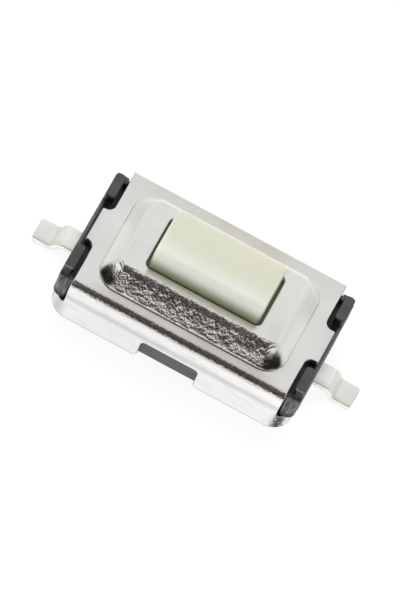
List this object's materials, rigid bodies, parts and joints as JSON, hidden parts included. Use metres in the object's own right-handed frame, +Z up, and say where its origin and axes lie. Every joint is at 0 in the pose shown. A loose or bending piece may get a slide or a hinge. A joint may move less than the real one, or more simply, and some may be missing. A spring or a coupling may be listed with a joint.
{
  "type": "tactile push button switch",
  "caption": "Low surface-mount push button switch: rectangular cream button in a stamped metal cover over a black moulded base, with two bent leads.",
  "frame": {"origin": "centre of the footprint, on the level of the leads' solder faces", "axes": "+X along the body from lead to lead, +Y across it, +Z up out of the button's top"},
  "size_m": [0.008, 0.0036, 0.0025],
  "materials": {
    "base_plastic": "black moulded plastic, satin, with lighter worn edges",
    "cover_sheet": "bright tin-plated sheet, slightly cloudy, grained on the drawn slopes",
    "button_plastic": "cream plastic with a faint green cast, satin",
    "dome_steel": "thin rolled spring steel",
    "film": "amber film, clear",
    "lead_plating": "silver-plated brass, satin"
  },
  "bodies": {
    "switch_body": {"base": "base_plastic", "cover": "cover_sheet", "contact_dome": "dome_steel", "dome_film": "film", "centre_terminal": "lead_plating", "rim_terminal": "lead_plating"},
    "push_button": {"button": "button_plastic"}
  },
  "joints": [
    {"name": "button_press", "type": "slide", "parent": "switch_body", "child": "push_button", "axis": [0, 0, -1], "range_m": [0, 0.00025], "stiffness_N_per_m": 7000, "deforming": ["contact_dome", "dome_film"]}
  ]
}
